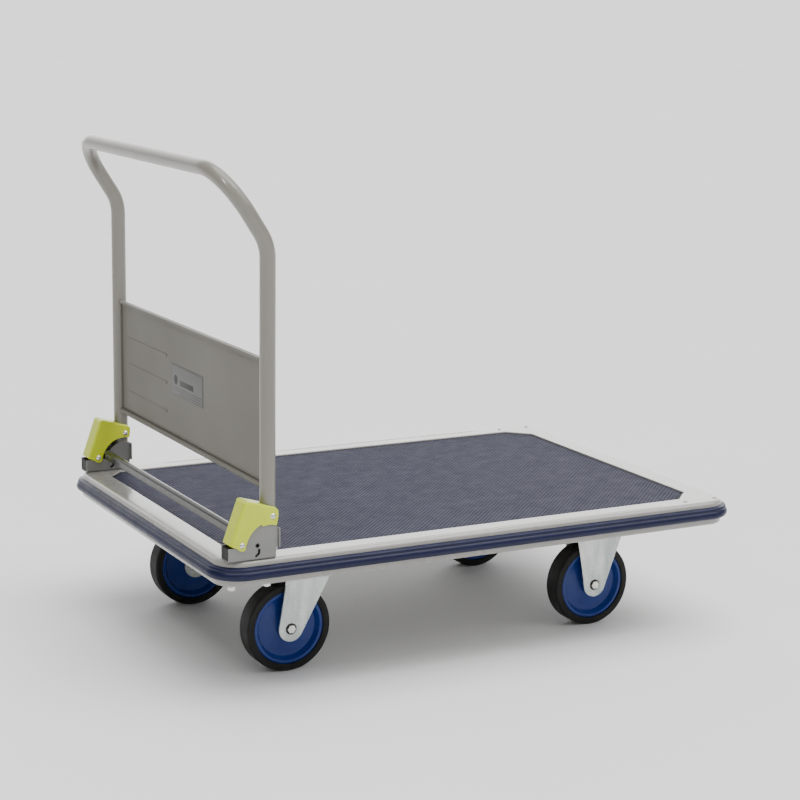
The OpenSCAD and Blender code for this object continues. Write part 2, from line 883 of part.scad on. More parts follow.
far() at_wheel(-swivel_x - trail) wheel_bearing();  // wheel_bearing_rear_far
at_wheel(front_axle_x) tyre();  // tyre_front_near
at_wheel(front_axle_x) wheel_core();  // wheel_core_front_near
at_wheel(front_axle_x) wheel_bearing();  // wheel_bearing_front_near
far() at_wheel(front_axle_x) tyre();  // tyre_front_far
far() at_wheel(front_axle_x) wheel_core();  // wheel_core_front_far
far() at_wheel(front_axle_x) wheel_bearing();  // wheel_bearing_front_far
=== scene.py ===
import math

import bpy
from mathutils import Matrix, Vector


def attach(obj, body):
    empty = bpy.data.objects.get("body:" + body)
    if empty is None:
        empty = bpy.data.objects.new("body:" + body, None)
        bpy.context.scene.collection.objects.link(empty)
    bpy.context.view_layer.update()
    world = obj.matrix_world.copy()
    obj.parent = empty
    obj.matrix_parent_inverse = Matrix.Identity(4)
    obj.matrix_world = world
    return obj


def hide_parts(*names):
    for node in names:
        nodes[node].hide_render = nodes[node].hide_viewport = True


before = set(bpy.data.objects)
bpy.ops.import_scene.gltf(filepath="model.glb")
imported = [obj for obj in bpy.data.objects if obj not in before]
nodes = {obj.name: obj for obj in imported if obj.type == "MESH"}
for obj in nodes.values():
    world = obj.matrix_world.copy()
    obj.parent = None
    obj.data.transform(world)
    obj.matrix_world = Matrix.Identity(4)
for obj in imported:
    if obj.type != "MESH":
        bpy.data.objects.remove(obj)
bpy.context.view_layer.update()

# ---------------------------------------------------------------- sizes, in millimetres
HALF_LEN, HALF_WID = 472.0, 321.0
RIM_TOP, SHOULDER, SHEET = 251.5, 8.0, 2.0
RIM_FLAT = 38.0
EDGE_OUT = RIM_FLAT + SHOULDER
LIP_ROUND, LIP_DROP = 2.0, 1.6
SWEPT_IN, CORNER_STEPS = 2.6, 20
SKIRT_LOW = RIM_TOP - 44.5
LIP_IN, LIP_R = 22.0, 4.0
FLOOR_TOP = 246.0
CHAMFER_FRONT, CHAMFER_REAR = 42.0, 28.0
BUMPER_Z = RIM_TOP - 21.5
UP_X, UP_Y, PIVOT_Z = -430.0, 350.0, 270.0
TUBE_R, TUBE_WALL, TUBE_FOOT, TUBE_SIDES = 13.5, 2.0, 14.0, 56
BEND_START, BEND_R, LEAN, SLANT_RUN, CORNER_R = 483.95, 80.0, math.radians(32.8), 35.25, 85.0
PANEL_LOW = PIVOT_Z + 100.5
WHEEL_R, WHEEL_Y = 80.0, 219.0
REAR_AXLE_X, FRONT_AXLE_X = -337.0, 297.6
CORE_R, TYRE_HALF = WHEEL_R * 0.835, 19.0


# ---------------------------------------------------------------- materials
class Paint:
    """A procedural finish: a principled surface with layered noise for colour, sheen and relief."""

    def __init__(self, name):
        self.material = bpy.data.materials.new(name)
        self.material.use_nodes = True
        tree = self.material.node_tree
        self.nodes, self.links = tree.nodes, tree.links
        self.surface = self.nodes["Principled BSDF"]
        self.place = self.nodes.new("ShaderNodeTexCoord").outputs["Object"]

    def set(self, **values):
        for key, value in values.items():
            self.surface.inputs[key.replace("_", " ")].default_value = value

    def noise(self, scale, detail=4.0, rough=0.55, stretch=None):
        node = self.nodes.new("ShaderNodeTexNoise")
        node.inputs["Scale"].default_value = scale
        node.inputs["Detail"].default_value = detail
        node.inputs["Roughness"].default_value = rough
        place = self.place
        if stretch:
            warp = self.nodes.new("ShaderNodeMapping")
            warp.inputs["Scale"].default_value = stretch
            self.links.new(place, warp.inputs["Vector"])
            place = warp.outputs["Vector"]
        self.links.new(place, node.inputs["Vector"])
        return node.outputs["Fac"]

    def ramp(self, value, stops):
        node = self.nodes.new("ShaderNodeValToRGB")
        spots = node.color_ramp.elements
        while len(spots) < len(stops):
            spots.new(0.5)
        for spot, (at, colour) in zip(spots, stops):
            spot.position = at
            spot.color = (*colour, 1.0)
        self.links.new(value, node.inputs["Fac"])
        return node.outputs["Color"]

    def span(self, value, low, high, start=0.3, end=0.7):
        node = self.nodes.new("ShaderNodeMapRange")
        node.inputs["From Min"].default_value = start
        node.inputs["From Max"].default_value = end
        node.inputs["To Min"].default_value = low
        node.inputs["To Max"].default_value = high
        self.links.new(value, node.inputs["Value"])
        return node.outputs["Result"]

    def blend(self, amount, first, second, mode="MIX"):
        node = self.nodes.new("ShaderNodeMixRGB")
        node.blend_type = mode
        if isinstance(amount, float):
            node.inputs["Fac"].default_value = amount
        else:
            self.links.new(amount, node.inputs["Fac"])
        self.links.new(first, node.inputs["Color1"])
        self.links.new(second, node.inputs["Color2"])
        return node.outputs["Color"]

    def colour(self, value):
        self.links.new(value, self.surface.inputs["Base Color"])

    def roughness(self, value):
        self.links.new(value, self.surface.inputs["Roughness"])

    def relief(self, *layers):
        """Each layer is (height, distance in metres, strength); they stack."""
        last = None
        for height, distance, strength in layers:
            node = self.nodes.new("ShaderNodeBump")
            node.inputs["Distance"].default_value = distance
            node.inputs["Strength"].default_value = strength
            self.links.new(height, node.inputs["Height"])
            if last is not None:
                self.links.new(last, node.inputs["Normal"])
            last = node.outputs["Normal"]
        self.links.new(last, self.surface.inputs["Normal"])


def painted(name, dark, light, rough=(0.28, 0.38), coat=0.35, grain=0.00004, shine=0.5, gloss=0.12):
    """Sprayed enamel: slight cloudy tone, orange peel, specks of dust in the sheen."""
    p = Paint(name)
    cloud = p.noise(2.4, 3.0, 0.5)
    dust = p.noise(240.0, 3.0, 0.6)
    tone = p.ramp(cloud, [(0.25, dark), (0.75, light)])
    specks = p.ramp(dust, [(0.70, light), (0.82, tuple(0.55 * c for c in dark))])
    p.colour(p.blend(p.span(dust, 0.0, 0.5, 0.66, 0.76), tone, specks))
    p.roughness(p.span(p.noise(7.0, 3.0), *rough))
    p.relief((p.noise(520.0, 2.0), grain, 0.22))
    p.set(Coat_Weight=coat, Coat_Roughness=gloss, Specular_IOR_Level=shine)
    return p.material


def zinc(name, dark, light, rough=(0.26, 0.42), streak=(1.0, 1.0, 0.35), metallic=0.6, size=24.0):
    """Plated sheet: mottled passivation, drain streaks, fine rolling grain."""
    p = Paint(name)
    mottle = p.noise(size, 4.0, 0.55, streak)
    stain = p.noise(7.0, 2.0, 0.5, streak)
    base = p.ramp(mottle, [(0.40, dark), (0.60, light)])
    tint = p.ramp(stain, [(0.35, (light[0] * 0.90, light[1] * 0.98, light[2] * 1.02)), (0.65, light)])
    p.colour(p.blend(0.5, base, tint))
    p.roughness(p.span(p.noise(40.0, 4.0), *rough))
    p.relief((p.noise(900.0, 2.0, 0.5, (1.0, 1.0, 0.1)), 0.00008, 0.2), (mottle, 0.0002, 0.06))
    p.set(Metallic=metallic)
    return p.material


def steel(name, dark, light, rough=(0.22, 0.38), metallic=0.85):
    """Drawn or turned bar: fine scratches over a smoky tone."""
    p = Paint(name)
    smoke = p.noise(50.0, 4.0)
    p.colour(p.ramp(smoke, [(0.3, dark), (0.75, light)]))
    p.roughness(p.span(p.noise(120.0, 4.0), *rough))
    p.relief((p.noise(1400.0, 2.0, 0.5, (0.15, 1.0, 1.0)), 0.00008, 0.25))
    p.set(Metallic=metallic)
    return p.material


def rubbery(name, dark, light, rough=(0.45, 0.62), grain=900.0, depth=0.0001, coat=0.0, shine=0.5):
    """Moulded rubber or plastic: fine grain, scuffs that lift the tone, dusty patches."""
    p = Paint(name)
    scuff = p.noise(16.0, 5.0, 0.6)
    p.colour(p.ramp(scuff, [(0.35, dark), (0.78, light)]))
    p.roughness(p.span(p.noise(40.0, 4.0), *rough))
    p.relief((p.noise(grain, 2.0), depth, 0.3), (p.noise(22.0, 2.0), 0.0003, 0.08))
    p.set(Coat_Weight=coat, Coat_Roughness=0.2, Specular_IOR_Level=shine)
    return p.material


# deck, handle and panel share one enamel; the handle copy is darker and the panel copy darker still: painted
# shade for the dimmer light on their upright faces
DECK = painted("deck_enamel", (0.265, 0.257, 0.235), (0.300, 0.292, 0.268), (0.22, 0.32), 0.85)
HANDLE = painted("handle_enamel_with_painted_shade", (0.185, 0.176, 0.150), (0.215, 0.206, 0.178), (0.28, 0.36), 0.5,
                 shine=0.3, gloss=0.06)
PANEL = painted("panel_enamel_with_painted_shade", (0.145, 0.138, 0.118), (0.170, 0.162, 0.140), (0.44, 0.54), 0.0, shine=0.15)
INSIDE = painted("underside_enamel", (0.22, 0.215, 0.20), (0.28, 0.272, 0.255), (0.4, 0.55), 0.1)
ZINC = zinc("zinc_pressings", (0.20, 0.245, 0.245), (0.64, 0.65, 0.62), (0.20, 0.38),
            streak=(0.9, 0.9, 0.18), metallic=0.66, size=34.0)
BRACKET = zinc("bracket_zinc", (0.175, 0.173, 0.162), (0.215, 0.212, 0.198), (0.30, 0.42),
               streak=(0.4, 1.0, 1.0), metallic=0.25)
BOLT = zinc("bolt_zinc", (0.45, 0.44, 0.40), (0.75, 0.73, 0.67), (0.16, 0.30), (1.0, 1.0, 1.0), 0.8)
STEEL = steel("bright_bar", (0.34, 0.34, 0.34), (0.56, 0.56, 0.55))
# near-black steel: the latch pins' dark finish, and the painted shade of the fork axle seats
OXIDE_AND_SEAT_SHADE = steel("oiled_steel_and_seat_shade", (0.020, 0.020, 0.021), (0.050, 0.050, 0.050), (0.3, 0.45), 0.6)
SPRING = steel("spring_wire", (0.26, 0.25, 0.24), (0.46, 0.45, 0.43))
SLEEVE = zinc("sleeve_zinc", (0.034, 0.033, 0.031), (0.054, 0.053, 0.050), (0.16, 0.24),
              streak=(1.0, 0.15, 1.0), metallic=0.5)
TYRE = rubbery("tyre_compound", (0.005, 0.005, 0.0045), (0.012, 0.0118, 0.0105), (0.5, 0.66), shine=0.28)
BLACK = rubbery("black_buffer", (0.006, 0.006, 0.006), (0.014, 0.014, 0.013), shine=0.3)
BUMPER = rubbery("navy_vinyl", (0.0040, 0.0062, 0.032), (0.0070, 0.0100, 0.045), (0.30, 0.42),
                 grain=700.0, depth=0.00006, shine=0.26)
WHEEL = rubbery("blue_moulding", (0.0045, 0.024, 0.165), (0.0075, 0.034, 0.215), (0.28, 0.40),
                grain=800.0, depth=0.00005, coat=0.15, shine=0.3)
LIME = rubbery("lime_moulding", (0.50, 0.585, 0.010), (0.58, 0.665, 0.018), (0.30, 0.42),
               grain=1000.0, depth=0.00006, coat=0.2, shine=0.4)
MAT = rubbery("mat_vinyl", (0.022, 0.023, 0.046), (0.033, 0.034, 0.060), (0.60, 0.72), shine=0.18)
MAT_BED = rubbery("mat_backing", (0.008, 0.008, 0.014), (0.016, 0.016, 0.025), (0.6, 0.75), shine=0.2)
PLATE = painted("plate_face", (0.115, 0.115, 0.110), (0.145, 0.145, 0.139), (0.40, 0.50), 0.0, shine=0.2)
PRINT = painted("plate_print", (0.020, 0.020, 0.020), (0.032, 0.032, 0.031), (0.4, 0.5), 0.0, shine=0.2)


# ---------------------------------------------------------------- mesh helpers
def piece(name, verts, faces, material, body, slot, smooth=40.0):
    """A mesh from millimetre points, riding on a body."""
    data = bpy.data.meshes.new(name)
    data.from_pydata([(x / 1000, y / 1000, z / 1000) for x, y, z in verts], [], faces)
    data.validate()
    data.update()
    data.shade_smooth()
    data.set_sharp_from_angle(angle=math.radians(smooth))
    data.materials.append(material)
    obj = bpy.data.objects.new(name, data)
    bpy.context.scene.collection.objects.link(obj)
    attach(obj, body)
    return obj


def grid(rows, closed_rows, closed_cols):
    """Quads over a list of equally long rows of points."""
    verts = [p for row in rows for p in row]
    wide, high = len(rows[0]), len(rows)
    faces = []
    for i in range(high if closed_rows else high - 1):
        for j in range(wide if closed_cols else wide - 1):
            a, b = i * wide + j, i * wide + (j + 1) % wide
            c, d = ((i + 1) % high) * wide + (j + 1) % wide, ((i + 1) % high) * wide + j
            faces.append((a, b, c, d))
    return verts, faces


def join(*parts):
    """Several (verts, faces) pairs as one."""
    verts, faces = [], []
    for v, f in parts:
        base = len(verts)
        verts += v
        faces += [tuple(i + base for i in face) for face in f]
    return verts, faces


def mirrored(part):
    """The far-side twin of a near-side (verts, faces) pair."""
    verts, faces = part
    return [(x, -y, z) for x, y, z in verts], [tuple(reversed(f)) for f in faces]


def arc(cx, cy, r, start, end, steps):
    """Points on a circle from start to end, in degrees."""
    turn = [math.radians(start + (end - start) * i / steps) for i in range(steps + 1)]
    return [(cx + r * math.cos(t), cy + r * math.sin(t)) for t in turn]


def round_deck(section, steps=CORNER_STEPS):
    """Runs a section of (distance out, height) right round the deck."""
    rows = []
    for sx, sy, start in ((1, 1, 0), (-1, 1, 90), (-1, -1, 180), (1, -1, 270)):
        for i in range(steps + 1):
            turn = math.radians(start + 90 * i / steps)
            along, aside = math.cos(turn), math.sin(turn)
            rows.append([(sx * HALF_LEN + u * along, sy * HALF_WID + u * aside, z) for u, z in section])
    return rows


def recess(g):
    """The mat recess grown outward by g, anticlockwise from the front far corner."""
    length, width, k = HALF_LEN + g, HALF_WID + g, g * (2 - math.sqrt(2))
    f, r = CHAMFER_FRONT + k, CHAMFER_REAR + k
    return [(length, width - f), (length - f, width), (r - length, width), (-length, width - r),
            (-length, r - width), (r - length, -width), (length - f, -width), (length, f - width)]


def loops(levels):
    """Rows of recess outlines for (growth, height) levels."""
    return [[(x, y, z) for x, y in recess(g)] for g, z in levels]


def lathe_y(profile, cx, cy, cz, steps=120):
    """Turns (radius, distance along Y) about a line along Y."""
    rows = []
    for i in range(steps):
        turn = 2 * math.pi * i / steps
        rows.append([(cx + r * math.cos(turn), cy + y, cz + r * math.sin(turn)) for r, y in profile])
    return grid(rows, True, False)


def tube(path, radius, sides=48, caps=True):
    """A round bar through the points of a path, with parallel-carried rings."""
    points = [Vector(p) for p in path]
    ahead, behind = points[1:] + points[-1:], points[:1] + points[:-1]
    ways = [(a - b).normalized() for a, b in zip(ahead, behind)]
    across = ways[0].orthogonal().normalized()
    rows = []
    for point, way in zip(points, ways):
        across = (across - way * across.dot(way)).normalized()
        up = way.cross(across)
        rows.append([tuple(point + radius * (across * math.cos(t) + up * math.sin(t)))
                     for t in (2 * math.pi * k / sides for k in range(sides))])
    verts, faces = grid(rows, False, True)
    if caps:
        last = len(verts) - sides
        faces += [tuple(reversed(range(sides))), tuple(range(last, last + sides))]
    return verts, faces


def block(x0, x1, y0, y1, z0, z1, edge):
    """A box with every edge and corner rounded off in two steps."""
    rows = []
    steps = [(edge, 0.0), (edge * 0.3, edge * 0.3), (0.0, edge)]
    levels = [(z0 + b, a) for a, b in steps] + [(z1 - b, a) for a, b in reversed(steps)]
    for z, inset in levels:
        row = []
        for cx, cy, start in ((x1, y1, 0), (x0, y1, 90), (x0, y0, 180), (x1, y0, 270)):
            sx, sy = (1 if cx == x1 else -1), (1 if cy == y1 else -1)
            ox, oy = cx - sx * edge, cy - sy * edge
            for px, py in arc(ox, oy, max(edge - inset, 0.02), start, start + 90, 4):
                row.append((px, py, z))
        rows.append(row)
    verts, faces = grid(rows, False, True)
    wide = len(rows[0])
    faces += [tuple(reversed(range(wide))), tuple(range(len(verts) - wide, len(verts)))]
    return verts, faces


# ---------------------------------------------------------------- deck
outer = [(SWEPT_IN, RIM_TOP), (RIM_FLAT - 0.5, RIM_TOP)]
outer += arc(RIM_FLAT, RIM_TOP - SHOULDER, SHOULDER, 88, 2, 12)
outer += [(EDGE_OUT, RIM_TOP - SHOULDER - 0.5), (EDGE_OUT, SKIRT_LOW + LIP_R + 0.4)]
outer += arc(EDGE_OUT - LIP_R, SKIRT_LOW + LIP_R, LIP_R, -2, -88, 8)
outer += [(EDGE_OUT - LIP_R - 0.4, SKIRT_LOW), (LIP_IN + 0.5, SKIRT_LOW), (LIP_IN, SKIRT_LOW + 0.5)]
inner = [(LIP_IN, SKIRT_LOW + SHEET - 0.5), (LIP_IN + 0.5, SKIRT_LOW + SHEET)]
inner += arc(EDGE_OUT - LIP_R, SKIRT_LOW + LIP_R, LIP_R - SHEET, -90, 0, 5)
inner += arc(RIM_FLAT, RIM_TOP - SHOULDER, SHOULDER - SHEET, 0, 90, 8)
inner += [(SWEPT_IN, RIM_TOP - SHEET)]
shell = grid(round_deck(outer + inner), True, False)


def rim_gusset(z, up):
    """The flat of the rim between the recess lip and the swept edge."""
    verts = [(x, y, z) for x, y in recess(LIP_ROUND)]
    faces = []
    order = [(1, 1, 0, 0, 1), (-1, 1, 90, 2, 3), (-1, -1, 180, 4, 5), (1, -1, 270, 6, 7)]
    arcs = []
    for sx, sy, start, first, second in order:
        base = len(verts)
        corner = arc(sx * HALF_LEN, sy * HALF_WID, SWEPT_IN, start, start + 90, CORNER_STEPS)
        verts += [(x, y, z) for x, y in corner]
        arcs.append((base, base + CORNER_STEPS))
        faces.append((first, *range(base, base + CORNER_STEPS + 1), second))
    for k in range(4):
        after = (k + 1) % 4
        faces.append((order[k][4], arcs[k][1], arcs[after][0], order[after][3]))
    if not up:
        faces = [tuple(reversed(f)) for f in faces]
    return verts, faces


lip = [(LIP_ROUND * (1 - math.sin(t)), RIM_TOP - LIP_DROP * (1 - math.cos(t)))
       for t in (math.radians(a) for a in range(0, 91, 15))]
lip += [(0.0, FLOOR_TOP + 1.4), (-0.4, FLOOR_TOP + 0.4), (-1.4, FLOOR_TOP)]
walls = grid(loops(lip), False, True)
walls = (walls[0], [tuple(reversed(f)) for f in walls[1]])
floor_face = ([(x, y, FLOOR_TOP) for x, y in recess(-1.4)], [tuple(range(8))])
UNDER_TOP = FLOOR_TOP - SHEET
under_levels = [(LIP_ROUND, RIM_TOP - SHEET), (LIP_ROUND, UNDER_TOP + 1.2), (1.6, UNDER_TOP + 0.3),
                (0.8, UNDER_TOP)]
under = grid(loops(under_levels), False, True)
under_face = ([(x, y, UNDER_TOP) for x, y in recess(0.8)], [tuple(reversed(range(8)))])


def rim_line(sign):
    """Low pressed bead along a side rim."""
    rows = []
    start, stop, y, half_wide, high, run_out = -347.0, 380.0, sign * 353.0, 3.0, 0.75, 6.0
    for i in range(41):
        x = start + (stop - start) * i / 40
        end = min(x - start, stop - x, run_out) / run_out
        tall = high * math.sin(math.pi / 2 * end)
        turns = [math.pi * k / 10 for k in range(11)]
        rows.append([(x, y + half_wide * math.cos(t), RIM_TOP - 0.05 + tall * math.sin(t)) for t in turns])
    return grid(rows, False, False)


deck_parts = [shell, rim_gusset(RIM_TOP, True), rim_gusset(RIM_TOP - SHEET, False), walls, floor_face,
              under, under_face, rim_line(1), rim_line(-1)]
deck = piece("deck_shell", *join(*deck_parts), DECK, "platform", "deck_paint", 35.0)
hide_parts("deck_pan")


# ---------------------------------------------------------------- mat with diagonal ribs
def clip_line(outline, point, way):
    """Where a line enters and leaves a convex outline."""
    low, high = -1e9, 1e9
    for (ax, ay), (bx, by) in zip(outline, outline[1:] + outline[:1]):
        nx, ny = by - ay, ax - bx
        side = nx * (point[0] - ax) + ny * (point[1] - ay)
        slope = nx * way[0] + ny * way[1]
        if abs(slope) < 1e-9:
            if side > 0:
                return None
            continue
        t = -side / slope
        if slope < 0:
            low = max(low, t)
        else:
            high = min(high, t)
    return (low, high) if high - low > 1.0 else None


PITCH, RIB_COUNT, RIB_HIGH = 6.5, 95, 1.0
MAT_TOP = FLOOR_TOP + 3.0
ribbed_area = recess(-4.0)
way = (math.sqrt(0.5), math.sqrt(0.5))
side = (math.sqrt(0.5), -math.sqrt(0.5))
profile = [(-2.5, 0.0), (-1.7, 0.75), (-0.6, 1.0), (0.6, 1.0), (1.7, 0.75), (2.5, 0.0)]
rib_verts, rib_faces = [], []
for i in range(-RIB_COUNT, RIB_COUNT + 1):
    ends = []
    for offset, height in profile:
        d = i * PITCH + offset
        cut = clip_line(ribbed_area, (side[0] * d, side[1] * d), way)
        if cut is None:
            break
        ends.append((d, cut, height))
    if len(ends) < len(profile):
        continue
    base = len(rib_verts)
    for d, cut, height in ends:
        for t in cut:
            x, y = side[0] * d + way[0] * t, side[1] * d + way[1] * t
            rib_verts.append((x, y, MAT_TOP - RIB_HIGH + height))
    count = len(profile)
    for k in range(count - 1):
        rib_faces.append((base + 2 * k, base + 2 * k + 1, base + 2 * k + 3, base + 2 * k + 2))
    rib_faces.append(tuple(base + 2 * k for k in range(count)))
    rib_faces.append(tuple(base + 2 * k + 1 for k in reversed(range(count))))
mat_ribs = piece("mat_ribs", rib_verts, rib_faces, MAT, "platform", "ribbed_mat", 30.0)
border = [(-0.5, FLOOR_TOP + 0.05), (-0.5, MAT_TOP - 0.5), (-0.9, MAT_TOP - 0.1), (-1.6, MAT_TOP),
          (-3.4, MAT_TOP), (-4.0, MAT_TOP - 0.3), (-4.2, MAT_TOP - RIB_HIGH)]
bed_face = ([(x, y, MAT_TOP - RIB_HIGH) for x, y in recess(-4.2)], [tuple(range(8))])
bed = join(grid(loops(border), False, True), bed_face)
mat_bed = piece("mat_bed", *bed, MAT_BED, "platform", "ribbed_mat", 30.0)
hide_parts("deck_mat")
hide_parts("deck_mat")

# ---------------------------------------------------------------- bumper
band = [(0.0, 11.5), (2.4, 11.0)]
band += [(3.6, 10.6), (5.2, 10.2)] + arc(5.4, 6.9, 3.4, 75, -20, 10) + [(8.3, 4.9), (8.35, 4.3)]
band += arc(3.2, -2.6, 8.6, 47, -74, 24)
band += [(4.2, -10.85), (0.0, -10.85)]
bumper_rows = round_deck([(EDGE_OUT + u, BUMPER_Z + z) for u, z in band], 28)
bumper = piece("bumper_band", *grid(bumper_rows, True, False), BUMPER, "platform", "bumper_rubber", 28.0)
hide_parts("bumper_strip")


# ---------------------------------------------------------------- handle
def handle_path():
    """Centre line of the tube from the near foot over the crossbar to the far foot."""
    straight = BEND_START - TUBE_FOOT
    near = [(UP_X, -UP_Y, PIVOT_Z + TUBE_FOOT + straight * i / 24) for i in range(24)]
    for x, z in arc(UP_X - BEND_R, PIVOT_Z + BEND_START, BEND_R, 0, math.degrees(LEAN), 14):
        near.append((x, -UP_Y, z))
    foot = Vector(near[-1])
    rise = Vector((-math.sin(LEAN), 0.0, math.cos(LEAN)))
    for k in (1, 2, 3):
        near.append(tuple(foot + rise * SLANT_RUN * k / 3))
    top = foot + rise * SLANT_RUN
    for i in range(1, 29):
        t = math.radians(90 * i / 28)
        near.append(tuple(top + rise * CORNER_R * math.sin(t) + Vector((0, CORNER_R * (1 - math.cos(t)), 0))))
    end = Vector(near[-1])
    for k in range(1, 9):
        near.append((end.x, end.y * (1 - k / 8), end.z))
    return near + [(x, -y, z) for x, y, z in reversed(near[:-1])]


loop = handle_path()
skin = tube(loop, TUBE_R, TUBE_SIDES, caps=False)
bore_verts, bore_faces = tube(loop[:3], TUBE_R - TUBE_WALL, TUBE_SIDES, caps=False)
bore = (bore_verts, [tuple(reversed(f)) for f in bore_faces])
edge_faces = []
for k in range(TUBE_SIDES):
    after = (k + 1) % TUBE_SIDES
    edge_faces.append((TUBE_SIDES + k, TUBE_SIDES + after, after, k))
foot_edge = (skin[0][:TUBE_SIDES] + bore_verts[:TUBE_SIDES], edge_faces)
handle_parts = [skin, foot_edge, bore, mirrored(foot_edge), mirrored(bore)]
handle = piece("handle_loop", *join(*handle_parts), HANDLE, "handle", "handle_paint", 50.0)
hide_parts("handle_tube")


def weld(z, sign):
    """A lumpy weld run where a panel tab meets the tube."""
    lumps = [0.25 * math.sin(2.3 * k) for k in range(11)]
    path = [(UP_X + 1.9, sign * (UP_Y - TUBE_R - 0.6 + lump), z + k * 0.8) for k, lump in enumerate(lumps)]
    return tube(path, 1.25, 10)


weld_parts = [weld(PANEL_LOW + z, sign) for z in (4, 104, 206) for sign in (-1, 1)]
piece("panel_welds", *join(*weld_parts), HANDLE, "handle", "handle_paint", 60.0)

# ---------------------------------------------------------------- blank plate
LABEL_Y0, LABEL_Y1, LABEL_Z0, LABEL_Z1 = -74.0, 75.0, PIVOT_Z + 181.0, PIVOT_Z + 239.0
LABEL_X = UP_X - 0.75 - 0.8
INK, LINE, BORDER, MARGIN = 0.06, 0.8, 2.0, 8.0
label = block(LABEL_X, LABEL_X + 0.85, LABEL_Y0, LABEL_Y1, LABEL_Z0, LABEL_Z1, 0.25)
plate = piece("plate_blank", *label, PLATE, "handle", "blank_plate", 40.0)
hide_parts("panel_label")


def printed_bar(y0, y1, z0, z1):
    """A printed rectangle standing just proud of the plate."""
    return block(LABEL_X - INK, LABEL_X + 0.1, y0, y1, z0, z1, 0.02)


def printed_dot(y, z, radius):
    """A printed disc with a softened rim."""
    face = LABEL_X - INK
    section = [(0.01, face), (radius - 0.2, face), (radius, face + 0.02), (radius, LABEL_X + 0.1)]
    rows = []
    for k in range(48):
        turn = 2 * math.pi * k / 48
        rows.append([(x, y + r * math.cos(turn), z + r * math.sin(turn)) for r, x in section])
    return grid(rows, True, False)


near_y, far_y = LABEL_Y0 + BORDER, LABEL_Y1 - BORDER
low_z, high_z = LABEL_Z0 + BORDER, LABEL_Z1 - BORDER
marks = [printed_bar(near_y, far_y, high_z - LINE, high_z), printed_bar(near_y, far_y, low_z, low_z + LINE)]
marks += [printed_bar(y, y + LINE, low_z + LINE, high_z - LINE) for y in (near_y, far_y - LINE)]
marks.append(printed_bar(-30.0, 34.0, 473.0, 483.0))
for z, stop in ((466.0, LABEL_Y1 - MARGIN), (461.4, LABEL_Y1 - MARGIN), (456.8, 38.0)):
    marks.append(printed_bar(LABEL_Y0 + MARGIN, stop, z, z + 1.0))
marks.append(printed_dot(54.0, 481.0, 9.0))
piece("plate_marks", *join(*marks), PRINT, "handle", "blank_plate", 40.0)

# ---------------------------------------------------------------- wheels
TYRE_ROUND = 4.0
side_groove = [(CORE_R, -TYRE_HALF + 0.8), (CORE_R + 0.8, -TYRE_HALF), (CORE_R + 3.0, -TYRE_HALF),
               (CORE_R + 3.5, -TYRE_HALF + 0.5), (CORE_R + 4.0, -TYRE_HALF)]
crown = [(WHEEL_R, -10.0), (WHEEL_R, 0.0)]
half_tyre = side_groove + arc(WHEEL_R - TYRE_ROUND, TYRE_ROUND - TYRE_HALF, TYRE_ROUND, -90, 0, 8) + crown
tyre_profile = half_tyre + [(r, -y) for r, y in reversed(half_tyre[:-1])]
boss = [(13.0, 20.0), (13.5, 20.5), (19.2, 20.5), (20.0, 19.7), (20.7, 12.0), (21.5, 10.4), (23.5, 9.8)]
web = [(40.0, 8.4), (52.0, 7.2), (54.4, 7.6), (55.4, 8.8)]
rolled_rim = [(59.7, 15.9), (60.4, 17.0), (61.4, 17.5), (64.6, 17.5), (65.2, 17.3), (65.6, 16.6),
              (66.1, 16.4), (CORE_R, 16.2)]
half_core = boss + web + rolled_rim
core_profile = [(r, -y) for r, y in half_core] + list(reversed(half_core))
WHEELS = [(end, x, flank, sign * WHEEL_Y) for end, x in (("rear", REAR_AXLE_X), ("front", FRONT_AXLE_X))
          for flank, sign in (("near", -1), ("far", 1))]
for end, x, flank, y in WHEELS:
    place = f"{end}_{flank}"
    body = f"wheel_{place}"
    tyre = piece(f"tread_{place}", *lathe_y(tyre_profile, x, y, WHEEL_R), TYRE, body, "tyre_rubber", 30.0)
    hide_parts(f"tyre_{place}")
    core = piece(f"dish_{place}", *lathe_y(core_profile, x, y, WHEEL_R), WHEEL, body, "wheel_blue", 30.0)
    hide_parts(f"wheel_core_{place}")

# ---------------------------------------------------------------- axle seat rings: painted shade in the fork recesses
def seat_shade_ring(x, y, face):
    """Near-black ring lying in a fork's recessed seat, seen round the bolt head: painted shade of the recess,
    not a real washer.
    """
    profile = [(6.2, 0.0), (6.2, 0.25), (6.5, 0.45), (10.0, 0.45), (10.3, 0.2), (10.3, 0.0)]
    section = [(r, face * h) for r, h in (profile if face < 0 else reversed(profile))]
    return lathe_y(section, x, y, WHEEL_R, 64)


SEAT_AT = 24.8
for end, x, flank, y in WHEELS:
    # a ring of painted shade on each face of every fork seat
    shade_rings = join(*[seat_shade_ring(x, y + face * SEAT_AT, face) for face in (-1, 1)])
    body = "platform" if end == "front" else f"swivel_{flank}"
    piece(f"seat_shade_rings_{end}_{flank}", *shade_rings, OXIDE_AND_SEAT_SHADE, body, "bright_steel", 40.0)

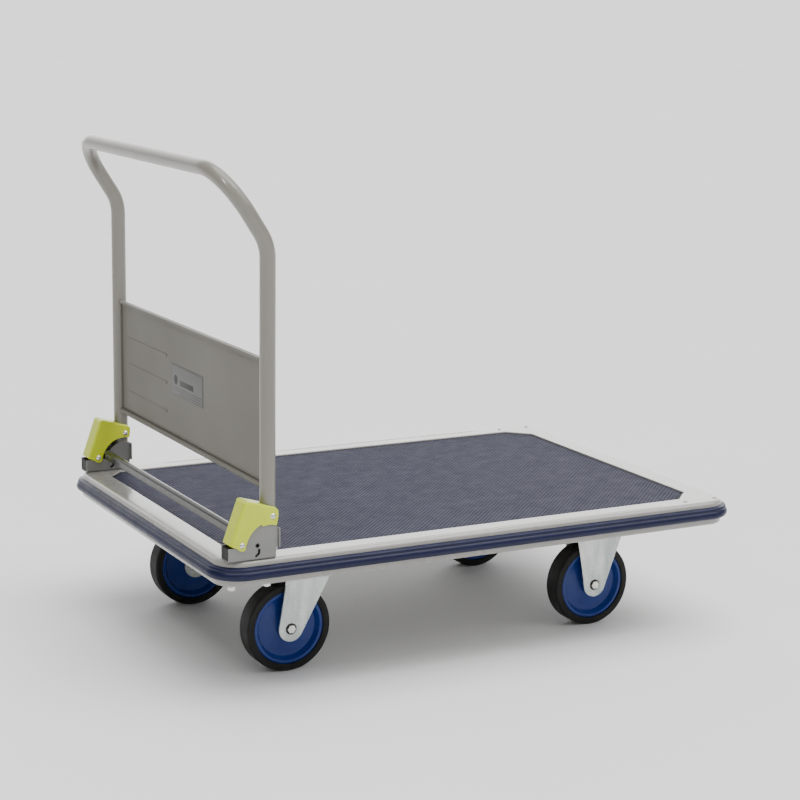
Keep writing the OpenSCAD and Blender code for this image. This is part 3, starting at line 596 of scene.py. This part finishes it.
# ---------------------------------------------------------------- finishes on the carried-over CAD pieces
FINISH = {
    "rear_cross_rails": (INSIDE, "deck_paint"), "front_cross_rails": (INSIDE, "deck_paint"),
    "centre_stiffener": (INSIDE, "deck_paint"), "rim_rivets": (DECK, "deck_paint"),
    "hinge_bracket": (BRACKET, "zinc_plate"), "stop_buffer": (BLACK, "black_rubber"),
    "pivot_pins": (BRACKET, "bright_steel"), "latch_pins": (OXIDE_AND_SEAT_SHADE, "bright_steel"),
    "latch_spring": (SPRING, "bright_steel"), "bracket_bolts": (BOLT, "zinc_plate"),
    "bracket_nuts": (BOLT, "zinc_plate"), "bracket_spacers": (STEEL, "bright_steel"),
    "swivel_plate": (ZINC, "zinc_plate"), "swivel_balls": (STEEL, "bright_steel"),
    "king_bolts": (BOLT, "zinc_plate"), "rigid_fork": (ZINC, "zinc_plate"),
    "front_axle_bolts": (BOLT, "zinc_plate"), "castor_bolts": (BOLT, "zinc_plate"),
    "castor_nuts": (BOLT, "zinc_plate"), "handle_panel": (PANEL, "handle_paint"),
    "hinge_knuckle": (STEEL, "bright_steel"), "stop_arm": (STEEL, "bright_steel"),
    "hinge_cover": (LIME, "cover_plastic"), "cover_bolts": (BOLT, "zinc_plate"),
    "release_rod": (STEEL, "bright_steel"), "release_sleeve": (SLEEVE, "zinc_plate"),
    "latch_lever": (STEEL, "bright_steel"), "swivel_fork": (ZINC, "zinc_plate"),
    "rear_axle": (BOLT, "zinc_plate"), "wheel_bearing": (STEEL, "bright_steel"),
}
SOFT_EDGE = {
    "hinge_cover": 0.0009, "handle_panel": 0.0004, "rigid_fork": 0.0006, "swivel_fork": 0.0006,
    "hinge_bracket": 0.0004, "front_axle_bolts": 0.0005, "rear_axle": 0.0005, "castor_bolts": 0.0004,
    "castor_nuts": 0.0004, "bracket_nuts": 0.0004, "king_bolts": 0.0004, "stop_arm": 0.0004,
    "stop_buffer": 0.0008, "release_sleeve": 0.0003, "latch_lever": 0.0003, "swivel_plate": 0.0005,
}


def soften(obj, width):
    """Rounds an object's sharp edges and evens its shading."""
    obj.modifiers.new("weld", "WELD").merge_threshold = 0.00001
    bevel = obj.modifiers.new("soft_edges", "BEVEL")
    bevel.width = width
    bevel.segments = 2
    bevel.limit_method = "ANGLE"
    bevel.angle_limit = math.radians(35)
    bevel.harden_normals = False
    bevel.use_clamp_overlap = True
    shading = obj.modifiers.new("shading", "WEIGHTED_NORMAL")
    shading.mode = "FACE_AREA"
    shading.weight = 80


for name, obj in nodes.items():
    kind = next((k for k in sorted(FINISH, key=len, reverse=True) if name.startswith(k)), None)
    if kind is None:
        continue
    finish, slot_name = FINISH[kind]
    obj.data.materials.clear()
    obj.data.materials.append(finish)
    if kind in SOFT_EDGE:
        soften(obj, SOFT_EDGE[kind])

# ---------------------------------------------------------------- studio
FLOOR_REACH = 400
ground = bpy.data.meshes.new("floor")
ground.from_pydata([(x * FLOOR_REACH, y * FLOOR_REACH, 0) for x, y in ((-1, -1), (1, -1), (1, 1), (-1, 1))],
                   [], [(0, 1, 2, 3)])
floor_paint = Paint("studio_floor")
floor_tone = floor_paint.ramp(floor_paint.noise(0.8), [(0.3, (0.80, 0.80, 0.80)), (0.7, (0.83, 0.83, 0.83))])
floor_paint.colour(floor_tone)
floor_paint.set(Roughness=0.9)
ground.materials.append(floor_paint.material)
floor = bpy.data.objects.new("floor", ground)
bpy.context.scene.collection.objects.link(floor)


def softbox(name, spot, aim, wide, high, power):
    light = bpy.data.lights.new(name, "AREA")
    light.shape = "RECTANGLE"
    light.size, light.size_y, light.energy = wide, high, power
    obj = bpy.data.objects.new(name, light)
    obj.location = spot
    obj.rotation_euler = (Vector(aim) - Vector(spot)).to_track_quat("-Z", "Y").to_euler()
    bpy.context.scene.collection.objects.link(obj)


def skylight(name, way, power, spread):
    light = bpy.data.lights.new(name, "SUN")
    light.energy, light.angle = power, math.radians(spread)
    obj = bpy.data.objects.new(name, light)
    obj.rotation_euler = Vector(way).to_track_quat("Z", "Y").to_euler()
    bpy.context.scene.collection.objects.link(obj)


skylight("overhead", (0.12, -0.05, 1.0), 3.4, 60)
skylight("side_light", (0.60, -0.50, 0.85), 1.3, 45)
skylight("front_fill", (-0.08, -1.0, 0.40), 0.3, 40)
softbox("corner_lamp", (-1.49, -0.91, 1.98), (-0.50, -0.30, 0.88), 0.18, 0.42, 9.5)

world = bpy.data.worlds.new("studio")
bpy.context.scene.world = world
world.use_nodes = True
sky, wires = world.node_tree.nodes, world.node_tree.links
toward = sky.new("ShaderNodeTexCoord")
aimed = sky.new("ShaderNodeVectorMath")
aimed.operation = "DOT_PRODUCT"
aimed.inputs[1].default_value = (0.42, 0.90, 0.12)
wires.new(toward.outputs["Generated"], aimed.inputs[0])
glow = sky.new("ShaderNodeMapRange")
glow.interpolation_type = "SMOOTHSTEP"
glow.inputs["From Min"].default_value = 0.55
glow.inputs["From Max"].default_value = 0.98
glow.inputs["To Min"].default_value = 0.28
glow.inputs["To Max"].default_value = 2.8
wires.new(aimed.outputs["Value"], glow.inputs["Value"])
wires.new(glow.outputs["Result"], sky["Background"].inputs["Strength"])
sky["Background"].inputs["Color"].default_value = (1, 1, 1, 1)

# ---------------------------------------------------------------- camera
AIM, DISTANCE, FOCAL, SENSOR = Vector((0.003836, 0.0, 0.416786)), 3.94886, 93.222, 36.0
az, el, roll = math.radians(-27.95), math.radians(11.62), math.radians(0.82)
back = Vector((math.sin(az) * math.cos(el), -math.cos(az) * math.cos(el), math.sin(el)))
right0 = (-back).cross(Vector((0, 0, 1))).normalized()
up0 = right0.cross(-back)
right = right0 * math.cos(roll) + up0 * math.sin(roll)
up = -right0 * math.sin(roll) + up0 * math.cos(roll)
lens = bpy.data.cameras.new("camera")
lens.sensor_width = SENSOR
lens.lens = FOCAL
camera = bpy.data.objects.new("camera", lens)
stand = Matrix.Translation(AIM + back * DISTANCE)
camera.matrix_world = stand @ Matrix((right, up, back)).transposed().to_4x4()
bpy.context.scene.collection.objects.link(camera)
bpy.context.scene.camera = camera
